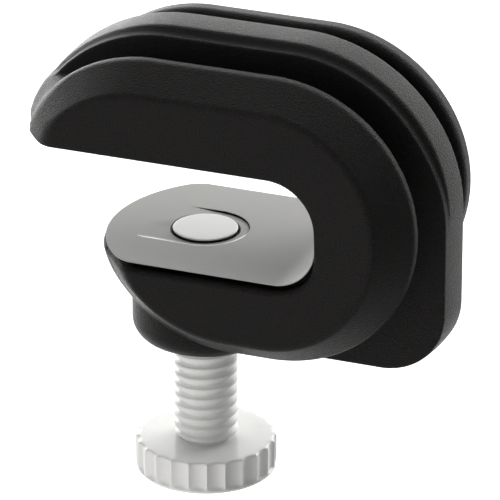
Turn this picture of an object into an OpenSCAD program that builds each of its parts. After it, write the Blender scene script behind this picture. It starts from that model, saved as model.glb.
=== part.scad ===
// Table-edge screw clamp: a C-shaped body in three moulded layers, closed by a
// thumb screw from below. Millimetres. The origin is on the screw's axis, in
// the clamping plane of the lower jaw. +Z points to the upper jaw, the mouth
// opens towards -X, and the layers are stacked along Y.

/* [Side profile] */
// Radius of the cheeks' outer arcs
cheek_r = 23.1; // [22.5:0.1:24]
// How far the centre rib stands out beyond the cheeks
rib_over = 2.5; // [1.5:0.1:3.5]
// Height of the arcs' centres above the clamping plane
arc_z = 8.4; // [8:0.1:9]
// Centre of the back's arc along X
back_x = 15.4; // [15:0.1:16]
// Centre of the nose's arc along X
nose_x = -3.9; // [-5:0.1:-3]
// Centre of the lower jaw's arc along X
chin_x = 9; // [8:0.1:10]
// How much further the core's lower jaw reaches than the cheeks
chin_reach = 3.2; // [3:0.1:3.6]
// Radius of the rib's lower back corner
heel_r = 12.3; // [10:0.1:13]

/* [Throat] */
// Height of the upper jaw's face above the clamping plane
throat_top = 17.3; // [17:0.1:18]
// Depth of the throat's floor below the clamping plane
throat_sink = 0.65; // [0.5:0.05:0.8]
// Back wall of the throat along X
throat_back = 24.2; // [23.5:0.1:24.5]
// Radius of the throat's two inner corners
throat_r = 7.3; // [6.5:0.1:8]

/* [Layers] */
// Half of the clamp's depth, to the cheeks' outer faces
face_y = 17; // [16.5:0.1:18]
// Half of the core's depth, to the cheeks' inner faces
core_y = 10.4; // [10:0.1:11]
// Thickness of the cheeks' outer rim
rim_t = 1.6; // [1.5:0.1:2.5]
// Width of the bevel round the cheeks' outer faces
bevel_w = 4; // [3:0.1:4.5]
// Depth of the two cord grooves below the cheeks' outline
groove_depth = 7; // [6:0.1:7.2]
// Half thickness of the rib's raised bead
bead_y = 3.2; // [2.8:0.1:3.5]
// Half thickness of the rib below its bead
rib_y = 4.2; // [4:0.1:4.8]
// Height of the bead above the rib's shoulders
bead_h = 1.1; // [0.8:0.1:1.4]

/* [Jaw ends, seen from above] */
// Front of the nose along X
nose_tip = -28.3; // [-29:0.1:-28]
// Front of the lower jaw along X
jaw_tip = -15.1; // [-15.4:0.1:-14.9]
// Radius of the jaws' rounded front ends
tip_r = 21; // [20:0.5:24]
// Radius of the corners beside those ends
tip_corner = 5; // [4:0.5:6]

/* [Jaw pads] */
// Thickness of the lower jaw's liner
liner_t = 2; // [1.8:0.1:2.2]
// Half width of the liner
liner_y = 16.1; // [15.5:0.1:16.2]
// Front of the liner along X
liner_tip = -14.3; // [-14.5:0.1:-14]
// How far the liner climbs round the throat's lower corner, in degrees
liner_climb = 72; // [60:1:80]
// Thickness of the upper jaw's pad
pad_t = 1.2; // [1:0.1:1.5]
// Half width of the upper jaw's pad
pad_y = 9; // [8:0.1:9.5]

/* [Screw] */
// Outer radius of the thread
thread_r = 5; // [4.8:0.1:5]
// Pitch of the thread
pitch = 1.75; // [1.5:0.05:2]
// Depth of the thread
thread_depth = 0.85; // [0.6:0.05:0.95]
// Height of the knob's top face
knob_top = -35.3; // [-36:0.1:-35]
// Thickness of the knob
knob_t = 5.3; // [5:0.1:6]
// Radius of the knob
knob_r = 10.9; // [10.5:0.1:11.5]
// Number of flutes round the knob
flutes = 24; // [20:1:28]
// Radius of the pressure foot
foot_r = 5.2; // [5.15:0.05:5.25]

/* [Screw boss] */
// Radius of the boss
boss_r = 11.4; // [11:0.1:11.5]
// Height of the boss's lower face
boss_bottom = -18; // [-18.5:0.1:-17.5]
// Radius round the boss's lower edge
boss_edge = 3.5; // [3:0.1:4]

/* [Fasteners] */
// Radius of the long cheek screws
screw_r = 1.5; // [1.4:0.05:1.5]
// Radius of their heads
head_r = 2.8; // [2.6:0.1:3]
// Outer radius of the brass inserts that they turn into
insert_r = 2.1; // [2:0.05:2.2]
// Length of those inserts
insert_l = 4.6; // [4:0.1:5]
// Radius of the alignment dowels
dowel_r = 1.5; // [1.4:0.05:1.6]

/* [Hidden] */
$fn = 96;

black = [0.13, 0.125, 0.125];
grey = [0.66, 0.66, 0.65];
white = [0.9, 0.9, 0.88];
steel = [0.62, 0.63, 0.65];
brass = [0.78, 0.63, 0.32];

rib_r = cheek_r + rib_over;           // rib's outer arcs
floor_r = cheek_r - groove_depth;     // groove floor's arcs
throat_floor = -throat_sink;
fit = 0.05;                           // running clearance, radial and axial
reach = 80;                           // longer than the clamp

// Foot and its journal, measured down from the clamping plane
foot_h = 4.5;
socket_top = -1.6;
journal_r = 2.6;
clip_z = -3.8;
clip_t = 0.6;
clip_r = 3.2;
clip_groove_r = 2.1;

// Threaded insert and the bush above it
bush_bottom = -4.7;
flange_t = 1.5;
insert_flange_r = 8.4;
insert_hex_r = 7.6;
insert_bottom = -16.5;

// Knob and its fixing
shank_r = 4;
shank_bottom = knob_top - 3.6;
knob_screw_r = 2;
washer_r = 4.2;
washer_t = 0.8;
flute_r = 1.33;
flute_depth = 0.76;
knob_chamfer = 1;

// Pegs under the liner
peg_x = [-11.2, 12];
peg_r = 1.5;
peg_h = 3;

// Centres of the long screws and of the dowels in the side view
arm_mid = (throat_top + pad_t + arc_z + floor_r) / 2;
wall_mid = (throat_back + back_x + floor_r) / 2;
screw_at = [
    [-14, arm_mid], [9, arm_mid], [wall_mid, arc_z], [16, -5.6]
];
dowel_at = [[-3, arm_mid], [24.4, -0.9]];
screw_head_y = face_y - 0.4;
screw_tip_y = -core_y - insert_l + 0.4;
dowel_half = core_y + 3;

// A 2D side view (X, Z) given thickness from y0 to y1
module slab(y0, y1) {
    translate([0, y1, 0]) rotate([90, 0, 0]) linear_extrude(y1 - y0) children();
}

// Everything above or below a height, to split the two jaws
module above(z) {
    translate([-reach, -reach, z]) cube([2 * reach, 2 * reach, reach]);
}
module below(z) {
    translate([-reach, -reach, z - reach]) cube([2 * reach, 2 * reach, reach]);
}

// Stadium in the side view: two equal arcs on the line of the arcs' centres
module stadium(x0, x1, r) {
    for (x = [x0, x1]) translate([x, arc_z]) circle(r, $fn = 160);
    translate([x0, arc_z - r]) square([x1 - x0, 2 * r]);
}

// Plan outline (X, Y) of a jaw: a wide arc in front, rounded corners, and
// straight sides running back
module jaw_plan(tip, half, big = tip_r, corner = tip_corner) {
    side = half - corner;
    run = sqrt(pow(big - corner, 2) - side * side);
    back = tip + big;
    translate([back, 0]) intersection() {
        circle(big, $fn = 160);
        polygon([[0, 0], [-2 * run, 2 * side], [-2 * run, -2 * side]]);
    }
    for (s = [-1, 1]) translate([back - run, s * side]) circle(corner);
    translate([back - run, -half]) square([reach, 2 * half]);
}

// A solid kept inside the jaws' plan outlines: one for each jaw
module jaw_ends(half) {
    intersection() {
        children();
        union() {
            translate([0, 0, arc_z])
                linear_extrude(reach) jaw_plan(nose_tip, half);
            translate([0, 0, arc_z - reach])
                linear_extrude(reach) jaw_plan(jaw_tip, half);
        }
    }
}

// Side view of the throat, open towards the mouth
module throat_2d() {
    height = throat_top - throat_floor;
    inner = throat_back - throat_r;
    for (z = [throat_floor + throat_r, throat_top - throat_r])
        translate([inner, z]) circle(throat_r);
    translate([-reach, throat_floor]) square([reach + inner, height]);
    translate([inner, throat_floor + throat_r])
        square([throat_r, height - 2 * throat_r]);
}

// Side view of the rib at a given inset from its outer edge
module rib_2d(inset = 0) {
    r = rib_r - inset;
    heel = heel_r - inset;
    intersection() {
        stadium(nose_x, back_x, r);
        translate([-reach, throat_top]) square([2 * reach, reach]);
    }
    stadium(back_x - 1, back_x, r);
    translate([back_x + r - heel, arc_z - r + heel]) circle(heel);
    translate([back_x + r - heel, arc_z - r + heel])
        square([heel, r - heel]);
    translate([0, arc_z - r]) square([back_x + r - heel, r]);
}

// Side view of the web that carries the rib and forms the grooves' floor
module web_2d() {
    stadium(back_x - 1, back_x, floor_r);
    intersection() {
        stadium(chin_x - chin_reach, back_x, cheek_r);
        translate([-reach, arc_z - floor_r]) square([reach + back_x, floor_r]);
    }
    intersection() {
        stadium(nose_x, back_x, cheek_r);
        translate([-reach, throat_top])
            square([reach + back_x, arc_z + floor_r - throat_top]);
    }
}

// Cheek, before its holes: two bevelled stadium halves, the upper one longer
module bevelled_bar(x0) {
    flat = cheek_r - bevel_w;
    rim = core_y + rim_t;
    for (x = [x0, back_x]) translate([x, 0, arc_z]) rotate([-90, 0, 0]) {
        translate([0, 0, core_y]) cylinder(r = cheek_r, h = rim_t, $fn = 160);
        translate([0, 0, rim])
            cylinder(r1 = cheek_r, r2 = flat, h = face_y - rim, $fn = 160);
    }
    translate([x0, 0, arc_z]) rotate([90, 0, 90]) linear_extrude(back_x - x0)
        polygon([
            [core_y, -cheek_r], [rim, -cheek_r], [face_y, -flat],
            [face_y, flat], [rim, cheek_r], [core_y, cheek_r]
        ]);
}

module cheek() {
    difference() {
        jaw_ends(face_y) {
            intersection() {
                bevelled_bar(nose_x);
                above(throat_top);
            }
            intersection() {
                bevelled_bar(chin_x);
                below(throat_top);
            }
        }
        slab(0, reach) throat_2d();
        liner_pocket();
        translate([0, 0, boss_bottom]) cylinder(r = boss_r + fit, h = 16);
    }
}

// Room for the liner in the throat's floor and lower corner
module liner_pocket() {
    gap = 0.35;
    intersection() {
        slab(-liner_y - gap, liner_y + gap) liner_2d(0);
        translate([0, 0, -reach]) linear_extrude(2 * reach)
            jaw_plan(liner_tip - gap, liner_y + gap);
    }
}

// Side view of the liner: flat on the jaw, then up round the lower corner
module liner_2d(raise) {
    low = -liner_t;
    inner = throat_back - throat_r;
    centre_z = throat_floor + throat_r;
    r_out = centre_z - low;
    r_in = centre_z - raise;
    translate([-reach, low]) square([reach + inner, raise - low]);
    translate([inner, centre_z]) difference() {
        intersection() {
            circle(r_out);
            polygon([
                [0, 0], [0, -2 * r_out], [2 * r_out, -2 * r_out],
                2 * r_out * [sin(liner_climb), -cos(liner_climb)]
            ]);
        }
        circle(r_in);
    }
}

module core_frame() {
    color(black) difference() {
        union() {
            jaw_ends(face_y) {
                slab(-core_y, core_y) web_2d();
                slab(-rib_y, rib_y) rib_2d(bead_h);
                slab(-bead_y, bead_y) rib_2d();
            }
            boss();
        }
        slab(-reach, reach) throat_2d();
        liner_pocket();
        upper_pad_block();
        stud_and_insert_room();
        for (p = screw_at) cross_hole(p, screw_r + 0.1);
        for (p = dowel_at) cross_hole(p, dowel_r);
        pegs();
    }
}

// Round pegs that hold the liner in the core
module pegs() {
    for (x = peg_x) translate([x, 0, -liner_t - peg_h]) cylinder(r = peg_r, h = peg_h + 1);
}

module cross_hole(p, r) {
    translate([p[0], reach, p[1]]) rotate([90, 0, 0]) cylinder(r = r, h = 2 * reach, $fn = 48);
}

// Boss round the screw, with a large radius round its lower edge
module boss() {
    translate([0, 0, boss_bottom]) rotate_extrude() {
        square([boss_r - boss_edge, -boss_bottom - liner_t]);
        translate([0, boss_edge]) square([boss_r, -boss_bottom - liner_t - boss_edge]);
        translate([boss_r - boss_edge, boss_edge]) circle(boss_edge);
    }
}

// Room inside the boss for the insert, the bush and the passing stud
module stud_and_insert_room() {
    translate([0, 0, boss_bottom - 1]) cylinder(r = thread_r + 0.4, h = -boss_bottom);
    translate([0, 0, insert_bottom])
        cylinder(r = insert_hex_r, h = -insert_bottom, $fn = 6);
    translate([0, 0, bush_bottom - flange_t])
        cylinder(r = insert_flange_r, h = flange_t - bush_bottom);
}

module jaw_liner() {
    color(grey) difference() {
        union() {
            intersection() {
                slab(-liner_y, liner_y) liner_2d(0);
                translate([0, 0, -liner_t]) linear_extrude(reach)
                    jaw_plan(liner_tip, liner_y);
            }
            pegs();
        }
        translate([0, 0, -liner_t - 1]) cylinder(r = foot_r + 0.25, h = liner_t + 2);
        foot_recess();
    }
}

// Shallow run-in beside the foot, open towards the mouth
module foot_recess() {
    depth = 0.4;
    run_in = 10;
    r = foot_r + 1.6;
    translate([0, 0, -depth]) cylinder(r = r, h = 1);
    rotate([90, 0, 0]) translate([0, 0, -r]) linear_extrude(2 * r)
        polygon([[0, -depth], [0, 1], [-run_in, 1], [-run_in, 0]]);
}

module upper_pad_block() {
    intersection() {
        translate([nose_tip + 3, -pad_y, throat_top])
            cube([throat_back - throat_r - nose_tip - 3, 2 * pad_y, pad_t]);
        linear_extrude(reach) jaw_plan(nose_tip + 3, pad_y, corner = 3);
    }
}

module upper_jaw_pad() {
    color(grey) upper_pad_block();
}

// A cheek's long screw: countersunk head in the rear cheek
module cheek_screw(i) {
    p = screw_at[i];
    color(steel) translate([p[0], 0, p[1]]) rotate([-90, 0, 0]) difference() {
        union() {
            translate([0, 0, screw_tip_y])
                cylinder(r = screw_r, h = screw_head_y - screw_tip_y);
            translate([0, 0, screw_head_y - 1.7])
                cylinder(r1 = screw_r, r2 = head_r, h = 1.7);
        }
        translate([0, 0, screw_head_y - 1.2]) cylinder(r = 1.15, h = 2, $fn = 6);
    }
}

module screw_seat(p) {
    translate([p[0], 0, p[1]]) rotate([-90, 0, 0]) {
        cylinder(r = screw_r + 0.1, h = reach, $fn = 48);
        translate([0, 0, screw_head_y - 1.7])
            cylinder(r1 = screw_r + 0.1, r2 = head_r + 0.1, h = 1.7);
        translate([0, 0, screw_head_y]) cylinder(r = head_r + 0.1, h = 2);
    }
}

module cheek_insert(i) {
    p = screw_at[i];
    color(brass) translate([p[0], 0, p[1]]) rotate([90, 0, 0])
        translate([0, 0, core_y]) difference() {
            cylinder(r = insert_r, h = insert_l);
            translate([0, 0, -1]) cylinder(r = screw_r, h = insert_l + 2);
        }
}

module dowel_pin(i) {
    p = dowel_at[i];
    color(steel) translate([p[0], 0, p[1]]) rotate([90, 0, 0])
        cylinder(r = dowel_r, h = 2 * dowel_half, center = true);
}

module dowel_seat(p) {
    translate([p[0], 0, p[1]]) rotate([-90, 0, 0]) cylinder(r = dowel_r, h = dowel_half, $fn = 48);
}

module rear_cheek() {
    color(black) difference() {
        cheek();
        for (p = screw_at) screw_seat(p);
        for (p = dowel_at) dowel_seat(p);
    }
}

module front_cheek() {
    color(black) mirror([0, 1, 0]) difference() {
        cheek();
        for (p = screw_at) translate([p[0], 0, p[1]]) rotate([-90, 0, 0])
            cylinder(r = insert_r, h = core_y + insert_l);
        for (p = dowel_at) dowel_seat(p);
    }
}

// Flanged hexagonal nut that the screw turns in
module threaded_insert() {
    color(brass) difference() {
        union() {
            translate([0, 0, insert_bottom])
                cylinder(r = insert_hex_r, h = bush_bottom - insert_bottom, $fn = 6);
            translate([0, 0, bush_bottom - flange_t])
                cylinder(r = insert_flange_r, h = flange_t);
        }
        translate([0, 0, insert_bottom - 1]) cylinder(r = thread_r + fit, h = reach);
    }
}

// Bush that guides the foot and holds the insert down
module guide_bush() {
    color(black) translate([0, 0, bush_bottom]) difference() {
        cylinder(r = insert_flange_r, h = -bush_bottom - liner_t);
        translate([0, 0, -1]) cylinder(r = foot_r + fit, h = reach);
    }
}

// Swivelling foot on the screw's upper end, flush with the liner at rest
module pressure_foot() {
    color(white) difference() {
        union() {
            translate([0, 0, -foot_h]) cylinder(r = foot_r, h = foot_h - 0.3);
            translate([0, 0, -0.3]) cylinder(r1 = foot_r, r2 = foot_r - 0.3, h = 0.3);
        }
        translate([0, 0, -foot_h - 1])
            cylinder(r = journal_r + fit, h = socket_top + foot_h + 1);
        translate([0, 0, -foot_h - 1]) cylinder(r = clip_r, h = clip_z + clip_t + foot_h + 1);
    }
}

module foot_clip() {
    color(steel) translate([0, 0, clip_z]) difference() {
        cylinder(r = clip_r, h = clip_t);
        translate([0, 0, -1]) cylinder(r = clip_groove_r + fit, h = clip_t + 2);
    }
}

// Screw: threaded shaft, journal for the foot above, plain shank for the knob
module screw_stud() {
    top = -foot_h - fit;
    groove_low = clip_z - 0.1;
    groove_high = clip_z + clip_t + 0.1;
    root_r = thread_r - thread_depth;
    turns = floor((top - knob_top) / pitch) - 1;
    start = knob_top + (top - knob_top - turns * pitch) / 2;
    thread_points = [
        for (i = [0:turns - 1]) let (z = start + i * pitch) each [
            [root_r, z + 0.14 * pitch], [thread_r, z + 0.38 * pitch],
            [thread_r, z + 0.62 * pitch], [root_r, z + 0.86 * pitch]
        ]
    ];
    color(white) difference() {
        rotate_extrude() polygon(concat(
            [[0, shank_bottom], [shank_r, shank_bottom], [shank_r, knob_top], [root_r, knob_top]],
            thread_points,
            [
                [root_r, top], [journal_r, top],
                [journal_r, groove_low], [clip_groove_r, groove_low],
                [clip_groove_r, groove_high], [journal_r, groove_high],
                [journal_r, socket_top - fit], [0, socket_top - fit]
            ]
        ));
        translate([0, 0, shank_bottom - 1]) cylinder(r = knob_screw_r, h = 9);
    }
}

// Fluted thumb wheel
module knob_wheel() {
    low = knob_top - knob_t;
    color(white) difference() {
        rotate_extrude() polygon([
            [0, low], [knob_r - knob_chamfer, low], [knob_r, low + knob_chamfer],
            [knob_r, knob_top - 0.4], [knob_r - 0.4, knob_top], [0, knob_top]
        ]);
        for (i = [0:flutes - 1]) rotate([0, 0, i * 360 / flutes])
            translate([knob_r - flute_depth + flute_r, 0, low + knob_chamfer / 2])
                cylinder(r = flute_r, h = knob_t, $fn = 32);
        translate([0, 0, shank_bottom]) cylinder(r = shank_r, h = reach);
        translate([0, 0, low - 1]) cylinder(r = washer_r, h = shank_bottom - low + 1);
    }
}

module knob_washer() {
    color(steel) translate([0, 0, shank_bottom - washer_t]) difference() {
        cylinder(r = washer_r, h = washer_t);
        translate([0, 0, -1]) cylinder(r = knob_screw_r, h = washer_t + 2);
    }
}

// Button-head screw up the stud's lower end
module knob_screw() {
    under_head = shank_bottom - washer_t;
    color(steel) difference() {
        union() {
            translate([0, 0, under_head]) cylinder(r = knob_screw_r, h = 7.5);
            translate([0, 0, under_head - 0.8]) cylinder(r = 3.4, h = 0.8);
        }
        translate([0, 0, under_head - 1]) cylinder(r = 1.2, h = 1.8, $fn = 6);
    }
}

core_frame();
front_cheek();
rear_cheek();
jaw_liner();
upper_jaw_pad();
threaded_insert();
guide_bush();
pressure_foot();
foot_clip();
screw_stud();
knob_wheel();
knob_washer();
knob_screw();
for (i = [0:3]) {
    cheek_screw(i);
    cheek_insert(i);
}
for (i = [0:1]) dowel_pin(i);
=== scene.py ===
"""Looks of the table-edge screw clamp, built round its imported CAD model.

The two moulded cheeks, the core and the liner are meshed from signed distance
functions, so their soft edges and run-outs are real shape. The thread and the
fluted knob are ring surfaces. Lengths below are millimetres until a mesh is made.
"""

import math

import bpy
import bmesh
import numpy as np
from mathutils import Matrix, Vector


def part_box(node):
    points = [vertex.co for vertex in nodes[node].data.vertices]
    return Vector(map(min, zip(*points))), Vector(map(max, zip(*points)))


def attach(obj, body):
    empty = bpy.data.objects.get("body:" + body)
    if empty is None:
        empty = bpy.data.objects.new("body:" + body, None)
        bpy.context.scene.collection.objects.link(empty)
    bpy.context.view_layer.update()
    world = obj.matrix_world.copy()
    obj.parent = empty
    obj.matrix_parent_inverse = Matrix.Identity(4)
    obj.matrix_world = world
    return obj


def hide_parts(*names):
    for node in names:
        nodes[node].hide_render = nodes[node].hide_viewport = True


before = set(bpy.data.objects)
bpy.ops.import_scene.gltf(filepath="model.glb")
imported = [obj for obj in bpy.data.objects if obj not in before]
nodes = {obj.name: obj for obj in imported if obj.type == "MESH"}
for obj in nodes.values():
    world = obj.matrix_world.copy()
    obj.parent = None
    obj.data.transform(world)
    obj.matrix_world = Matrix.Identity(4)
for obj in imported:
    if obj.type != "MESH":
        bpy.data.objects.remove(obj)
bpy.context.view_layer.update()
MM = 0.001

# ---------------------------------------------------------------- sizes, in mm
# The C is drawn round ARC_Z, the middle height of its back, from NOSE_X to BACK_X.
CHEEK_R, ARC_Z = 23.1, 8.4
BACK_X, NOSE_X, CHIN_X = 15.4, -3.9, 9.0
FLOOR_R = 16.1
RIB_R, NOSE_RIB_R, HEEL_R, BEAD_H = 25.6, 25.25, 10.6, 0.8
BEAD_Y, RIB_Y = 3.2, 4.3
FACE_Y, CORE_Y, RIM_T, BEVEL_W = 17.0, 10.4, 1.3, 4.0
CUT_Y = CORE_Y - 0.01
THROAT_TOP, THROAT_LOW, THROAT_BACK, THROAT_R = 17.1, -0.92, 24.1, 7.6
NOSE_TIP, JAW_TIP, TIP_R, TIP_CORNER = -28.3, -15.5, 21.0, 5.0
LINER_T, LINER_Y, LINER_TIP, LINER_CLIMB = 2.0, 16.1, -14.9, math.radians(88)
BOSS_R, BOSS_LOW, BOSS_EDGE = 11.4, -18.0, 3.5
THREAD_R, THREAD_DEPTH, PITCH = 5.0, 0.85, 1.75
KNOB_TOP, KNOB_T, KNOB_R, FLUTES = -35.3, 5.3, 11.05, 24
FOOT_R, FOOT_H, FOOT_TOP = 5.05, 4.5, 0.15
CURL_X, CURL_Z = 17.2, 6.65
LINER_SKIN, LINER_INSET = 0.22, 1.5
RECESS_R, RECESS_DEPTH, RECESS_RUN = 6.85, 0.32, 7.5
FOOT_HOLE_R, FOOT_HOLE_Y = 5.4, 0.12
PEGS_X, PEG_R = (-11.2, 12.0), 1.5
DOWEL_R, SHANK_R, INSERT_R, HEAD_R = 1.5, 1.6, 2.1, 2.9
BORE_R = THREAD_R + 0.4
NUT_R, NUT_LOW = 7.6, -16.5
BUSH_R, BUSH_LOW = 8.4, -6.2
UPPER_PAD_HALF, UPPER_PAD_T = 9.0, 1.2


def centre(node, axes):
    """Middle of a CAD node's box along the given axes, in mm."""
    low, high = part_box(node)
    return [(low[i] + high[i]) / 2 / MM for i in axes]


SCREWS = [centre(f"cheek_screw_{i}", (0, 2)) for i in (1, 2, 3, 4)]
DOWELS = [centre(f"dowel_pin_{i}", (0, 2)) for i in (1, 2)]


# ------------------------------------------------------- distance functions
def step(a, b, t):
    """0 at a, 1 at b, smooth between; a may be above b."""
    t = np.clip((t - a) / (b - a), 0, 1)
    return t * t * (3 - 2 * t)


def soft_max(a, b, k):
    return np.maximum(a, b) + np.maximum(k - abs(a - b), 0) ** 2 / (4 * k)


def both(a, b, r):
    """Intersection with its edge rounded to radius r."""
    inner = np.minimum(np.maximum(a, b), -r)
    return inner + np.hypot(np.maximum(a + r, 0), np.maximum(b + r, 0))


def either(a, b, r):
    """Union with a fillet of radius r."""
    return -both(-a, -b, r)


def cut(a, b, r=0.0):
    """a without b."""
    return both(a, -b, r) if r else np.maximum(a, -b)


def stadium(x, z, x0, x1, r):
    return np.hypot(x - np.clip(x, x0, x1), z - ARC_Z) - r


def rounded_corner(qx, qy, r):
    """Distance to a quadrant's corner at the origin, rounded to r."""
    a, b = qx + r, qy + r
    return np.hypot(np.maximum(a, 0), np.maximum(b, 0)) + np.minimum(np.maximum(a, b), 0) - r


def plan(x, ay, tip, half, big=TIP_R, corner=TIP_CORNER):
    """Plan outline of a jaw: wide front arc, round corners, straight sides."""
    side = half - corner
    run = math.sqrt((big - corner) ** 2 - side**2)
    back = tip + big
    on_arc = run * ay + side * (x - back) < 0
    arc = np.hypot(np.minimum(x - back, 0), ay) - big
    round_part = np.hypot(x - (back - run), ay - side) - corner
    return np.where(on_arc, arc, np.where(x < back - run, round_part, ay - half))


def sag(y):
    """How far the front arc falls back at a distance y from the middle."""
    return TIP_R - np.sqrt(np.maximum(TIP_R**2 - y**2, 0))


def throat(x, z):
    middle = (THROAT_TOP + THROAT_LOW) / 2
    half = (THROAT_TOP - THROAT_LOW) / 2
    back = THROAT_BACK + 0.8 * step(6.8, 0.5, z)
    return rounded_corner(x - back, abs(z - middle) - half, THROAT_R)


def chin_centre(ay):
    return CHIN_X - sag(12.4) + sag(np.minimum(ay, 12.4))


def jaw_tip(z):
    return np.where(z > ARC_Z, NOSE_TIP, JAW_TIP)


def skin(x, ay, z, u, rim=RIM_T, soft=0.5):
    """A moulding's outer skin: its side outline u, bevelled towards the face and
    drawn in at the jaws' ends."""
    right = np.clip((x - BACK_X) / np.maximum(np.hypot(x - BACK_X, z - ARC_Z), 1e-6), 0, 1)
    w = BEVEL_W + right**2
    h = FACE_Y - CORE_Y - rim
    bevel = ((u + w) * h + (ay - FACE_Y) * w) / np.hypot(h, w)
    tip = jaw_tip(z)
    near_tip = step(12, 4, x - tip)
    f = soft_max(bevel, plan(x, ay, tip, FACE_Y), 0.6 + 1.4 * near_tip)
    return soft_max(f, u, soft + 1.2 * near_tip)


def web(x, ay, z):
    """Side view of the web under the grooves, thicker towards the nose."""
    floor = stadium(x, z, BACK_X - 1, BACK_X, FLOOR_R)
    nose_r = CHEEK_R + (NOSE_RIB_R - CHEEK_R) * step(10.0, 3.2, ay)
    nose = both(stadium(x, z, NOSE_X, BACK_X, nose_r), z - ARC_Z - FLOOR_R, 2.5)
    nose = np.maximum(nose, np.maximum(x - BACK_X, ARC_Z - z))
    chin = stadium(x, z, chin_centre(ay), BACK_X, CHEEK_R)
    chin = both(chin, ARC_Z - FLOOR_R - z, 2.0)
    chin = np.maximum(chin, np.maximum(x - BACK_X, z - ARC_Z))
    return np.minimum(floor, np.minimum(nose, chin))


def rib(x, z, r):
    """Side view of the rib, square but for a large heel at the lower back."""
    upper = stadium(x, z, NOSE_X, BACK_X, r)
    heel = HEEL_R - (RIB_R - r)
    lower = rounded_corner(x - BACK_X - r, ARC_Z - r - z, heel)
    return np.where(z > ARC_Z, upper, np.maximum(lower, -x))


def liner_height(x, z):
    """Height above the liner's upper face, measured square to it."""
    flat = z + 0 * x
    curled = CURL_Z - np.hypot(x - CURL_X, z - CURL_Z)
    return np.where((x > CURL_X) & (z < CURL_Z + 8), curled, flat)


def climb_end(x, z):
    return (x - CURL_X) * math.cos(LINER_CLIMB) + (z - CURL_Z) * math.sin(LINER_CLIMB)


def liner_pocket(x, ay, z):
    side = plan(x, ay, LINER_TIP + 1.3, LINER_Y - 1.3)
    up = liner_height(x, z)
    depth = np.maximum(-up - LINER_T, up - 3.0)
    end = np.where(x > CURL_X, climb_end(x, z) + 1.3, -1.0)
    return np.maximum(np.maximum(side, depth), end)


def rod(x, z, at, r):
    return np.hypot(x - at[0], z - at[1]) - r


def cheek(x, y, z, rear):
    u = stadium(x, z, np.where(z > ARC_Z, NOSE_X, chin_centre(y)), BACK_X, CHEEK_R)
    f = skin(x, y, z, u, 3.1 if rear else RIM_T, 0.35)
    f = both(f, -throat(x, z), 0.25 + 0.6 * step(14, 2, z))
    f = cut(f, liner_pocket(x, y, z), 0.12)
    f = cut(f, np.maximum(np.hypot(x, y) - BOSS_R - 0.05, z + 2))
    joined = step(0.3, -0.3, web(x, CORE_Y, z))
    f = both(f, CORE_Y - 2 * joined - y, 1.5 if rear else 0.35)
    for at in DOWELS:
        f = cut(f, np.maximum(rod(x, z, at, DOWEL_R), y - CORE_Y - 3))
    for at in SCREWS:
        if rear:
            r = np.clip(SHANK_R + (y - 14.9) * 1.3 / 1.7, SHANK_R, HEAD_R)
            f = cut(f, 0.8 * (np.hypot(x - at[0], z - at[1]) - r), 0.1)
        else:
            f = cut(f, np.maximum(rod(x, z, at, INSERT_R), y - CORE_Y - 4.6))
    return f


def core(x, y, z):
    ay = abs(y)
    plain = step(24, 6, z) * step(8, 20, x)
    full = np.where(y < 0, plain, 0)
    crown = 0.012 * (y - 1.5) ** 2
    shoulder_r = RIB_R - crown - BEAD_H * (1 - full)
    shoulder_y = RIB_Y + 0.4 * (y < 0) * (1 - full)
    shoulder = both(rib(x, z, shoulder_r), ay - shoulder_y, 0.3)
    bead_r = np.where(z > ARC_Z, RIB_R + (NOSE_RIB_R - RIB_R) * step(0, -16, x), RIB_R) - crown
    bead_edge = np.where(y < 0, 1.1 - 0.7 * plain, 0.7 - 0.2 * plain)
    bead = both(rib(x, z, bead_r), ay - BEAD_Y, bead_edge)
    u = either(web(x, ay, z), either(shoulder, bead, 0.4 * (1 - plain) + 0.001), 0.5)
    f = skin(x, ay, z, u)
    f = np.maximum(f, ay - CORE_Y - 2)
    f = cut(f, throat(x, z), 0.45)
    f = cut(f, liner_pocket(x, ay, z), 0.12)
    pad = np.maximum(plan(x, ay, NOSE_TIP + 3, UPPER_PAD_HALF, corner=3.0), x - CURL_X)
    f = cut(f, np.maximum(pad, abs(z - THROAT_TOP) - UPPER_PAD_T) - 0.02)
    rho, flat = np.hypot(x, y), math.sqrt(0.75)
    hexagon = np.maximum(ay, abs(x) * flat + ay / 2) - NUT_R * flat
    f = cut(f, np.maximum(hexagon, np.maximum(NUT_LOW - z, z)))
    f = cut(f, np.maximum(rho - BUSH_R, np.maximum(BUSH_LOW - z, z - 0.5)))
    f = cut(f, np.maximum(rho - BORE_R, z))
    for peg in PEGS_X:
        f = cut(f, np.maximum(np.hypot(x - peg, y) - PEG_R, np.maximum(-5 - z, z)))
    for at in SCREWS:
        f = cut(f, rod(x, z, at, SHANK_R))
    for at in DOWELS:
        f = cut(f, rod(x, z, at, DOWEL_R))
    return f


def recess_edge(x, y):
    """Distance outside the shallow recess round the foot, which runs out forwards."""
    return np.where(x > 0, np.hypot(x, y), abs(y)) - RECESS_R


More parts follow.
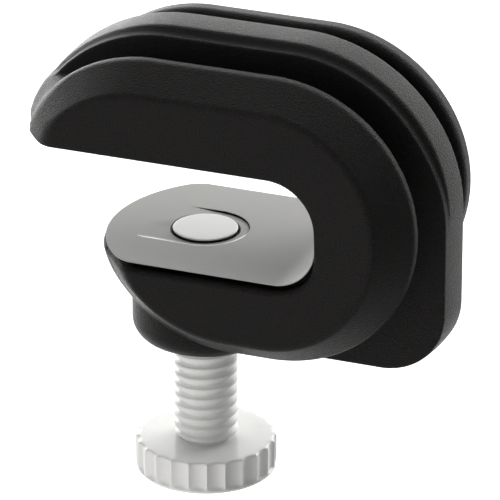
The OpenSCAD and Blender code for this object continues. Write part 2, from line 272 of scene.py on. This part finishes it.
def liner(x, y, z):
    ay = abs(y)
    up = liner_height(x, z)
    edge = plan(x, ay, LINER_TIP, LINER_Y)
    edge = np.where(x > CURL_X, np.maximum(edge, climb_end(x, z)), edge)
    sheet = both(np.maximum(up, -LINER_SKIN - up), edge, 0.1)
    body = np.maximum(np.maximum(up, -LINER_T - up), edge + LINER_INSET)
    f = np.minimum(sheet, body)
    beside = recess_edge(x, y)
    start = -6.2 - 3.6 * step(2.0, -2.0, y)
    depth = RECESS_DEPTH * step(start, start + RECESS_RUN, x) - 0.01
    ramp = np.clip(-beside / (0.03 + 1.07 * step(2.0, -3.0, y)), 0, 1)
    f = np.maximum(f, -np.maximum(beside, -depth * ramp - up))
    f = np.maximum(f, FOOT_HOLE_R - np.hypot(x, y - FOOT_HOLE_Y))
    for peg in PEGS_X:
        f = np.minimum(f, np.maximum(np.hypot(x - peg, y) - PEG_R, np.maximum(-5 - z, z + 1)))
    return f


# ----------------------------------------------------------- mesh builders
def gradient(f, p, eps=0.02):
    g = np.empty_like(p)
    for a in range(3):
        d = np.zeros(3)
        d[a] = eps
        g[:, a] = f(*(p + d).T) - f(*(p - d).T)
    return g / (2 * eps)


def surface_net(f, low, high, h):
    """Quads on f = 0 in a box of cells of size h, pulled on to the surface."""
    low, high, h = np.array(low, float), np.array(high, float), np.broadcast_to(h, 3)
    n = np.ceil((high - low) / h).astype(int) + 1
    axes = [low[i] + h[i] * np.arange(n[i]) for i in range(3)]
    v = np.empty(n)
    yy, zz = np.meshgrid(axes[1], axes[2], indexing="ij")
    for i, x in enumerate(axes[0]):
        v[i] = f(np.full_like(yy, x), yy, zz)
    v[v == 0] = 1e-9
    inside, cells = v < 0, n - 1
    total = int(np.prod(cells))
    sums, count, rings = np.zeros((3, total)), np.zeros(total), []
    for a in range(3):
        b, c = (a + 1) % 3, (a + 2) % 3
        near = tuple(slice(0, -1) if i == a else slice(None) for i in range(3))
        far = tuple(slice(1, None) if i == a else slice(None) for i in range(3))
        at = np.argwhere(inside[near] != inside[far])
        at = at[(at[:, b] > 0) & (at[:, c] > 0) & (at[:, b] < cells[b]) & (at[:, c] < cells[c])]
        beyond = at.copy()
        beyond[:, a] += 1
        v0, v1 = v[tuple(at.T)], v[tuple(beyond.T)]
        point = at.astype(float)
        point[:, a] += v0 / (v0 - v1)
        ring = []
        for db, dc in ((-1, -1), (0, -1), (0, 0), (-1, 0)):
            cell = at.copy()
            cell[:, b] += db
            cell[:, c] += dc
            flat = np.ravel_multi_index(tuple(cell.T), tuple(cells))
            ring.append(flat)
            count += np.bincount(flat, minlength=total)
            for i in range(3):
                sums[i] += np.bincount(flat, weights=point[:, i], minlength=total)
        ring = np.array(ring).T
        ring[v0 > 0] = ring[v0 > 0][:, ::-1]
        rings.append(ring)
    used = np.flatnonzero(count)
    index = np.full(total, -1)
    index[used] = np.arange(len(used))
    points = low + h * (sums[:, used] / count[used]).T
    for _ in range(3):
        g = gradient(f, points)
        move = (f(*points.T) / np.maximum((g**2).sum(1), 0.2))[:, None] * g
        points -= np.clip(move, -0.5 * h.min(), 0.5 * h.min())
    return points, index[np.concatenate(rings)]


def new_mesh(name, points, faces, smooth=True):
    """A mesh object from points in mm and faces of equal size."""
    mesh = bpy.data.meshes.new(name)
    faces = np.asarray(faces, np.int32)
    sides = faces.shape[1]
    mesh.vertices.add(len(points))
    mesh.vertices.foreach_set("co", (np.asarray(points) * MM).astype(np.float32).ravel())
    mesh.loops.add(faces.size)
    mesh.loops.foreach_set("vertex_index", faces.ravel())
    mesh.polygons.add(len(faces))
    mesh.polygons.foreach_set("loop_start", np.arange(len(faces), dtype=np.int32) * sides)
    mesh.polygons.foreach_set("use_smooth", np.full(len(faces), smooth))
    mesh.update(calc_edges=True)
    mesh.validate()
    obj = bpy.data.objects.new(name, mesh)
    bpy.context.scene.collection.objects.link(obj)
    return obj


def slice_off(obj, y, side):
    """Cuts away what lies beyond the plane y, in mm, and closes the cut."""
    bm = bmesh.new()
    bm.from_mesh(obj.data)
    geometry = bm.verts[:] + bm.edges[:] + bm.faces[:]
    made = bmesh.ops.bisect_plane(
        bm, geom=geometry, plane_co=(0, y * MM, 0), plane_no=(0, side, 0),
        clear_outer=True, dist=1e-8,
    )
    edges = [e for e in made["geom_cut"] if isinstance(e, bmesh.types.BMEdge)]
    bmesh.ops.triangle_fill(bm, edges=edges, use_beauty=True, normal=(0, side, 0))
    bm.to_mesh(obj.data)
    bm.free()


def true_normals(obj, f):
    """Shades a mesh with the distance function's own normals."""
    count = len(obj.data.vertices)
    co = np.empty(count * 3, np.float32)
    obj.data.vertices.foreach_get("co", co)
    g = gradient(f, co.reshape(-1, 3).astype(float) / MM, 0.04)
    g /= np.maximum(np.linalg.norm(g, axis=1), 1e-9)[:, None]
    obj.data.normals_split_custom_set_from_vertices(g.tolist())


def lathe(name, rings, segments):
    """A ring surface. rings holds (radius, z) pairs or functions of the angle."""
    angle = np.arange(segments) * 2 * math.pi / segments
    points = []
    for r, z in rings:
        rr = r(angle) if callable(r) else np.full(segments, float(r))
        zz = z(angle) if callable(z) else np.full(segments, float(z))
        points.append(np.stack([rr * np.cos(angle), rr * np.sin(angle), zz], 1))
    points = np.concatenate(points)
    j = np.arange(segments)
    ring = np.stack([j, (j + 1) % segments, (j + 1) % segments + segments, j + segments], 1)
    faces = [ring + i * segments for i in range(len(rings) - 1)]
    return new_mesh(name, points, np.concatenate(faces))


def arc(cx, cz, r, a0, a1, n):
    """Points on a circle from angle a0 to a1, in degrees."""
    t = np.radians(np.linspace(a0, a1, n))
    return [(cx + r * math.cos(a), cz + r * math.sin(a)) for a in t]


def sharpen(obj, angle=35):
    """Marks edges sharper than an angle, so that flat and round parts shade right."""
    bm = bmesh.new()
    bm.from_mesh(obj.data)
    limit = math.radians(angle)
    for e in bm.edges:
        if len(e.link_faces) == 2 and e.calc_face_angle(0) > limit:
            e.smooth = False
    bm.to_mesh(obj.data)
    bm.free()


# --------------------------------------------------------------- materials
def node_of(tree, kind, **inputs):
    """A new node with some of its inputs set."""
    node = tree.nodes.new(kind)
    for key, value in inputs.items():
        node.inputs[key].default_value = value
    return node


def moulded(name, base, rough, grain, bump, tone=0.2, spec=0.5, metal=0.0, rough_var=0.08,
            patch=6.0, wear_and_highlight=0.0, stretch=None, share=0.45, contrast=0.18):
    """A finish with fine grain and broad patches, both sized in mm, and edges lightened by
    pointiness, partly wear and partly painted highlight.

    bump is the grain's height in mm, share the patches' part in the colour.
    """
    mat = bpy.data.materials.new(name)
    mat.use_nodes = True
    tree = mat.node_tree
    link = tree.links.new
    shader = tree.nodes["Principled BSDF"]
    shader.inputs["Metallic"].default_value = metal
    shader.inputs["Specular IOR Level"].default_value = spec
    shader.inputs["IOR"].default_value = 1.5
    where = tree.nodes.new("ShaderNodeTexCoord")
    source = where.outputs["Object"]
    if stretch:
        mapping = tree.nodes.new("ShaderNodeMapping")
        mapping.inputs["Scale"].default_value = stretch
        link(source, mapping.inputs["Vector"])
        source = mapping.outputs["Vector"]
    fine = node_of(tree, "ShaderNodeTexNoise", Scale=1000 / grain, Detail=3.0, Roughness=0.6)
    link(source, fine.inputs["Vector"])
    broad = node_of(tree, "ShaderNodeTexNoise", Scale=1000 / patch, Detail=4.0, Roughness=0.55)
    link(where.outputs["Object"], broad.inputs["Vector"])
    blend = tree.nodes.new("ShaderNodeMix")
    blend.data_type = "FLOAT"
    blend.inputs[0].default_value = share
    link(fine.outputs["Fac"], blend.inputs[2])
    link(broad.outputs["Fac"], blend.inputs[3])
    ramp = tree.nodes.new("ShaderNodeValToRGB")
    low, high = [c * (1 - tone) for c in base], [min(c * (1 + tone), 1) for c in base]
    ramp.color_ramp.elements[0].position = 0.5 - contrast
    ramp.color_ramp.elements[1].position = 0.5 + contrast
    ramp.color_ramp.elements[0].color = (*low, 1)
    ramp.color_ramp.elements[1].color = (*high, 1)
    link(blend.outputs[0], ramp.inputs["Fac"])
    colour = ramp.outputs["Color"]
    # Convex edges lighter by pointiness: partly edge wear, partly a painted highlight along the
    # rims.
    if wear_and_highlight:
        edge = tree.nodes.new("ShaderNodeNewGeometry")
        reach = node_of(tree, "ShaderNodeMapRange")
        reach.inputs["From Min"].default_value = 0.52
        reach.inputs["From Max"].default_value = 0.6
        reach.inputs["To Max"].default_value = wear_and_highlight
        link(edge.outputs["Pointiness"], reach.inputs["Value"])
        mix = tree.nodes.new("ShaderNodeMix")
        mix.data_type = "RGBA"
        mix.inputs[7].default_value = (*[min(c * 3 + 0.05, 1) for c in base], 1)
        link(reach.outputs["Result"], mix.inputs[0])
        link(colour, mix.inputs[6])
        colour = mix.outputs[2]
    link(colour, shader.inputs["Base Color"])
    span = node_of(tree, "ShaderNodeMapRange")
    span.inputs["From Min"].default_value = 0.3
    span.inputs["From Max"].default_value = 0.7
    span.inputs["To Min"].default_value = rough - rough_var
    span.inputs["To Max"].default_value = rough + rough_var
    link(blend.outputs[0], span.inputs["Value"])
    link(span.outputs["Result"], shader.inputs["Roughness"])
    relief = node_of(tree, "ShaderNodeBump", Strength=1.0, Distance=bump * MM)
    link(fine.outputs["Fac"], relief.inputs["Height"])
    link(relief.outputs["Normal"], shader.inputs["Normal"])
    return mat


# The black moulding's lighter edges are partly wear, partly painted highlight.
BLACK = moulded("black_moulding", (0.0045, 0.0034, 0.0031), 0.39, 0.25, 0.33, tone=1.0,
                spec=0.175, wear_and_highlight=0.1, share=0.08, contrast=0.085)
GREY = moulded("grey_liner", (0.46, 0.46, 0.45), 0.62, 0.22, 0.004, tone=0.05, spec=0.25,
               patch=4.0)
# A lighter grey, put on the recess's front slope as a painted highlight.
PAINTED_LIP_HIGHLIGHT = moulded("liner_lip_painted_highlight", (0.85, 0.85, 0.84), 0.3, 0.2, 0.002, tone=0.03)
PAD = moulded("grey_pad", (0.2, 0.2, 0.197), 0.75, 0.3, 0.02, tone=0.12, spec=0.3)
BUSH = moulded("bush", (0.02, 0.02, 0.021), 0.4, 0.3, 0.01, tone=0.2)
BRASS = moulded("brass", (0.62, 0.42, 0.17), 0.3, 0.25, 0.006, tone=0.12, metal=1.0,
                stretch=(1, 1, 6))
STEEL = moulded("black_oxide_steel", (0.07, 0.07, 0.073), 0.4, 0.2, 0.005, tone=0.25, metal=1.0)
FOOT = moulded("white_foot", (0.78, 0.78, 0.78), 0.3, 0.3, 0.0002, tone=0.006, spec=0.4,
               rough_var=0.01)
SCREW = moulded("white_screw", (0.82, 0.82, 0.81), 0.34, 0.35, 0.006, tone=0.05, patch=3.0)
KNOB = moulded("polished_knob", (0.77, 0.77, 0.76), 0.05, 0.5, 0.0003, tone=0.03, spec=0.4,
               rough_var=0.02, patch=5.0)


def dress(obj, material, body, slot, *replaced):
    """Gives a piece its finish and its body, and hides the nodes it stands for; slot is not
    used.
    """
    obj.data.materials.clear()
    obj.data.materials.append(material)
    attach(obj, body)
    if replaced:
        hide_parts(*replaced)


# ------------------------------------------------------------ black mouldings
CELL = 0.3
CHEEK_LOW, CHEEK_HIGH = (-24, 7.6, -16), (40, 17.8, 33)


def rear_field(x, y, z):
    return cheek(x, y, z, True)


def mirrored_front_field(x, y, z):
    return cheek(x, y, z, False)


def front_field(x, y, z):
    return mirrored_front_field(x, -y, z)


points, faces = surface_net(rear_field, CHEEK_LOW, CHEEK_HIGH, CELL)
rear = new_mesh("rear_cheek_moulding", points, faces)
slice_off(rear, CUT_Y, -1)
true_normals(rear, rear_field)
dress(rear, BLACK, "frame", "black_moulding", "rear_cheek")

points, faces = surface_net(mirrored_front_field, CHEEK_LOW, CHEEK_HIGH, CELL)
points[:, 1] *= -1
front = new_mesh("front_cheek_moulding", points, faces[:, ::-1])
slice_off(front, -CUT_Y, 1)
true_normals(front, front_field)
dress(front, BLACK, "frame", "black_moulding", "front_cheek")

points, faces = surface_net(core, (-29.5, -12.8, -18.5), (42, 12.8, 35), CELL)
body = new_mesh("core_moulding", points, faces)
slice_off(body, CUT_Y, 1)
slice_off(body, -CUT_Y, -1)
true_normals(body, core)

# The boss: up the bore's rounded mouth, round the outside, down the bush's and nut's seats.
boss_rings = [(BORE_R, NUT_LOW), (BORE_R, BOSS_LOW + 0.4)]
boss_rings += arc(BORE_R + 0.4, BOSS_LOW + 0.4, 0.4, 180, 270, 6)
boss_rings += [(BOSS_R - BOSS_EDGE - 1, BOSS_LOW)]
boss_rings += arc(BOSS_R - BOSS_EDGE, BOSS_LOW + BOSS_EDGE, BOSS_EDGE, -90, 0, 16)
boss_rings += [(BOSS_R, z) for z in (-12, -9, -6, -2.6)]
boss_rings += [(BOSS_R - 0.3, -2.3), (BUSH_R + 0.1, -2.3), (BUSH_R + 0.1, BUSH_LOW - 0.1)]
boss_rings += [(NUT_R + 0.1, BUSH_LOW - 0.1), (NUT_R + 0.1, NUT_LOW), (BORE_R, NUT_LOW)]
boss = lathe("boss_moulding", boss_rings, 128)
sharpen(boss)
dress(body, BLACK, "frame", "black_moulding", "core_frame")
dress(boss, BLACK, "frame", "black_moulding")

# ---------------------------------------------------------------- jaw liner
points, faces = surface_net(liner, (-15.6, -16.8, -5.5), (26, 16.8, 8), (0.15, 0.15, 0.12))
pad = new_mesh("liner_moulding", points, faces)
true_normals(pad, liner)
dress(pad, GREY, "frame", "grey_liner", "jaw_liner")
pad.data.materials.append(BLACK)
pad.data.materials.append(PAINTED_LIP_HIGHLIGHT)
# Painted shade and highlight: the underside and the recess's rear wall take the black moulding
# as painted shade of the gaps, and its front slope takes a bright painted highlight.
x, y, z = points[faces].mean(1).T
up, beside = liner_height(x, z), recess_edge(x, y)
under_painted_shade = (up < -0.2) & ((beside > 0.1) | (x < -10.5))
wall_painted_shade = (abs(beside) < 0.1) & (up < -0.05) & (x > -7) & (y > 1.5)
slope_painted_highlight = (beside < 0.02) & (beside > -0.5) & (up < -0.004) & (y < 0) & (x > -8.7)
shade_and_highlight_index = np.select([under_painted_shade | wall_painted_shade, slope_painted_highlight], [1, 2], 0).astype(np.int32)
pad.data.polygons.foreach_set("material_index", shade_and_highlight_index)

# ------------------------------------------------------------ foot and screw
# The foot: its socket for the screw's end first, then up its side to the face.
SHADE_BAND_LOW, SHADE_BAND_TOP = -0.7, -0.02
foot_rings = [(0.0, -1.6), (1.3, -1.6), (2.65, -1.6), (2.65, -3.15), (3.2, -3.2)]
foot_rings += [(3.2, -FOOT_H), (FOOT_R - 0.3, -FOOT_H)]
foot_rings += arc(FOOT_R - 0.3, -FOOT_H + 0.3, 0.3, -90, 0, 5)
foot_rings += [(FOOT_R, z) for z in (-3, SHADE_BAND_LOW, SHADE_BAND_TOP)]
foot_rings += arc(FOOT_R - 0.12, FOOT_TOP - 0.12, 0.12, 0, 90, 6)
foot_rings += [(r, FOOT_TOP) for r in (4.4, 3.4, 2.2, 1.0, 0.0)]
foot = lathe("foot_disc", foot_rings, 128)
sharpen(foot)
dress(foot, FOOT, "foot", "white_foot", "pressure_foot")
# A band of the foot's side just under its top edge takes the black moulding: painted shade of
# the gap round the disc.
foot.data.materials.append(BLACK)
for face in foot.data.polygons:
    side = math.hypot(face.center.x, face.center.y) > (FOOT_R - 0.15) * MM
    face.material_index = int(side and SHADE_BAND_LOW * MM < face.center.z < SHADE_BAND_TOP * MM)


def thread_radius(z):
    """Radius of the helical thread at height z, as a function of the angle."""
    root = THREAD_R - THREAD_DEPTH
    top, low = -FOOT_H - 0.05, KNOB_TOP
    fade = float(step(top, top - 1.2, z) * step(low, low + 0.9, z))

    def radius(angle):
        phase = (z / PITCH - angle / (2 * math.pi)) % 1.0
        rise = np.clip((0.5 - abs(phase - 0.5)) / 0.5, 0, 1)
        crest = step(0.12, 0.72, rise)
        return root + (THREAD_DEPTH - 0.02) * crest * fade

    return radius


# The screw: its blind hole for the knob's screw, the thread, the neck and its ball end.
screw_rings = [(0.0, -30.0), (2.0, -30.0), (2.0, -38.9), (3.7, -38.9), (4.0, -38.6)]
screw_rings += [(4.0, KNOB_TOP)]
heights = np.arange(KNOB_TOP, -FOOT_H - 0.05, 0.11)
screw_rings += [(thread_radius(z), z) for z in heights]
screw_rings += [(THREAD_R - THREAD_DEPTH - 0.25, -4.55), (2.6, -4.55), (2.6, -3.9), (2.1, -3.9)]
screw_rings += [(2.1, -3.1), (2.6, -3.1), (2.6, -1.85), (2.4, -1.65), (0.0, -1.65)]
screw = lathe("screw_thread", screw_rings, 120)
sharpen(screw, 50)
dress(screw, SCREW, "thumb_screw", "white_screw", "screw_stud")

# ---------------------------------------------------------------- knob wheel
FLUTE_R, FLUTE_DEPTH = 2.6, 0.43


def knob_side(depth_share, inset):
    """Fluted radius: round scallops between narrow lands."""

    def radius(angle):
        pitch = 2 * math.pi / FLUTES
        local = abs((angle + pitch / 2) % pitch - pitch / 2) * KNOB_R
        centre_r = KNOB_R - FLUTE_DEPTH + FLUTE_R
        reach = np.sqrt(np.maximum(FLUTE_R**2 - local**2, 0))
        scallop = np.where(local < FLUTE_R, centre_r - reach, KNOB_R)
        land = np.minimum(scallop, KNOB_R)
        return KNOB_R - inset - (KNOB_R - land) * depth_share

    return radius


KNOB_LOW, KNOB_EDGE, FLUTE_EDGE = KNOB_TOP - KNOB_T, 0.6, 0.4
FLUTE_RISE = ((0.65, 0.1), (0.75, 0.35), (0.9, 0.65), (1.1, 0.88), (1.4, 1.0))
knob_rings = [(4.0, KNOB_LOW + 1.7), (4.2, KNOB_LOW + 1.7), (4.2, KNOB_LOW + 0.25)]
knob_rings += [(4.45, KNOB_LOW), (7.5, KNOB_LOW)]
knob_rings += arc(KNOB_R - KNOB_EDGE, KNOB_LOW + KNOB_EDGE, KNOB_EDGE, -90, 0, 9)
for z, share in FLUTE_RISE + ((3.0, 1.0), (4.0, 1.0), (4.8, 1.0)):
    knob_rings.append((knob_side(share, 0.0), KNOB_LOW + z))
for in_by, up_by in arc(0, 0, FLUTE_EDGE, 0, 90, 7)[1:]:
    knob_rings.append((knob_side(1.0, FLUTE_EDGE - in_by), KNOB_TOP - FLUTE_EDGE + up_by))
knob_rings += [(r, KNOB_TOP) for r in (9.2, 7.0, 5.0, 4.0)]
knob = lathe("knob_fluted", knob_rings, FLUTES * 20)
sharpen(knob, 40)
dress(knob, KNOB, "thumb_screw", "polished_knob", "knob_wheel")

# --------------------------------------------------- finishes on CAD pieces
FINISH = {"upper_jaw_pad": PAD, "guide_bush": BUSH, "threaded_insert": BRASS}
for name, node in nodes.items():
    material = FINISH.get(name) or (BRASS if name.startswith("cheek_insert") else STEEL)
    if not node.hide_render:
        node.data.materials.clear()
        node.data.materials.append(material)

# ------------------------------------------------------------ floor and light
FLOOR_HALF, FLOOR_Z = 40, -0.8
floor_mesh = bpy.data.meshes.new("floor")
signs = ((-1, -1), (1, -1), (1, 1), (-1, 1))
corners = [(sx * FLOOR_HALF, sy * FLOOR_HALF, FLOOR_Z) for sx, sy in signs]
floor_mesh.from_pydata(corners, [], [(0, 1, 2, 3)])
floor = bpy.data.objects.new("floor", floor_mesh)
bpy.context.scene.collection.objects.link(floor)
pale = bpy.data.materials.new("pale_floor")
pale.use_nodes = True
shader = pale.node_tree.nodes["Principled BSDF"]
shader.inputs["Base Color"].default_value = (0.9, 0.9, 0.9, 1)
shader.inputs["Roughness"].default_value = 0.9
shader.inputs["Emission Color"].default_value = (1, 1, 1, 1)
shader.inputs["Emission Strength"].default_value = 0.6
floor_mesh.materials.append(pale)
floor.visible_diffuse = floor.visible_glossy = floor.visible_shadow = False

world = bpy.data.worlds.new("studio")
bpy.context.scene.world = world
world.use_nodes = True
tree = world.node_tree
toward = tree.nodes.new("ShaderNodeTexCoord")
total = None
# Soft patches of light on the sky: direction, cosines where a patch starts and is full, level.
LOBES = [
    ((-0.2, 0.8, 0.55), 0.6, 0.95, 1.6),
    ((0.45, 0.85, 0.35), 0.88, 0.99, 4.5),
    ((-0.33, -0.1, 0.93), 0.9, 0.99, 2.6),
    ((0.0, 1.0, -0.2), 0.5, 0.95, 1.2),
    ((-0.75, 0.6, -0.3), 0.75, 0.97, 1.6),
    ((0.1, 0.2, -1.0), 0.4, 0.95, 0.4),
    ((-0.42, -0.75, -0.38), 0.3, 1.0, 1.25),
    ((0.6, -0.6, -0.2), 0.2, 1.0, 0.1),
    ((0.2, -0.8, 0.6), 0.2, 0.95, 0.15),
]
for axis, start, end, level in LOBES:
    dot = tree.nodes.new("ShaderNodeVectorMath")
    dot.operation = "DOT_PRODUCT"
    dot.inputs[1].default_value = Vector(axis).normalized()
    tree.links.new(toward.outputs["Generated"], dot.inputs[0])
    rise = tree.nodes.new("ShaderNodeMapRange")
    rise.interpolation_type = "SMOOTHSTEP"
    rise.inputs["From Min"].default_value = start
    rise.inputs["From Max"].default_value = end
    rise.inputs["To Max"].default_value = level
    tree.links.new(dot.outputs["Value"], rise.inputs["Value"])
    if total is None:
        total = rise.outputs["Result"]
    else:
        add = tree.nodes.new("ShaderNodeMath")
        tree.links.new(total, add.inputs[0])
        tree.links.new(rise.outputs["Result"], add.inputs[1])
        total = add.outputs[0]
base = tree.nodes.new("ShaderNodeMath")
base.inputs[1].default_value = 0.05
tree.links.new(total, base.inputs[0])
# Seen directly, the backdrop is plain white.
seen = tree.nodes.new("ShaderNodeLightPath")
plain_back = tree.nodes.new("ShaderNodeMix")
plain_back.inputs[3].default_value = 1.0
tree.links.new(seen.outputs["Is Camera Ray"], plain_back.inputs[0])
tree.links.new(base.outputs[0], plain_back.inputs[2])
tree.links.new(plain_back.outputs[0], tree.nodes["Background"].inputs["Strength"])
tree.nodes["Background"].inputs["Color"].default_value = (1.0, 0.995, 0.985, 1)


def softbox(name, at, aim, size, power):
    """A rectangular area light; metres and watts."""
    light = bpy.data.lights.new(name, "AREA")
    light.shape, light.size, light.size_y, light.energy = "RECTANGLE", size[0], size[1], power
    obj = bpy.data.objects.new(name, light)
    obj.location = at
    obj.rotation_euler = (Vector(aim) - Vector(at)).to_track_quat("-Z", "Y").to_euler()
    bpy.context.scene.collection.objects.link(obj)


softbox("back_left", (-0.7, 0.8, 0.15), (0, 0, 0), (0.5, 0.7), 3.2)

# -------------------------------------------------------------------- camera
LENS, DISTANCE, AIM = 360, 0.7692, Vector((7.38 * MM, 0, -2.6 * MM))
azimuth, elevation = math.radians(21.5), math.radians(24.0)
back = Vector((
    math.sin(azimuth) * math.cos(elevation),
    -math.cos(azimuth) * math.cos(elevation),
    math.sin(elevation),
))
lens = bpy.data.cameras.new("camera")
lens.sensor_width, lens.lens = 36, LENS
lens.clip_start, lens.clip_end = 0.05, 200
camera = bpy.data.objects.new("camera", lens)
camera.location = AIM + back * DISTANCE
camera.rotation_mode = "QUATERNION"
camera.rotation_quaternion = (-back).to_track_quat("-Z", "Y")
bpy.context.scene.collection.objects.link(camera)
bpy.context.scene.camera = camera
bpy.context.scene.view_settings.view_transform = "Standard"
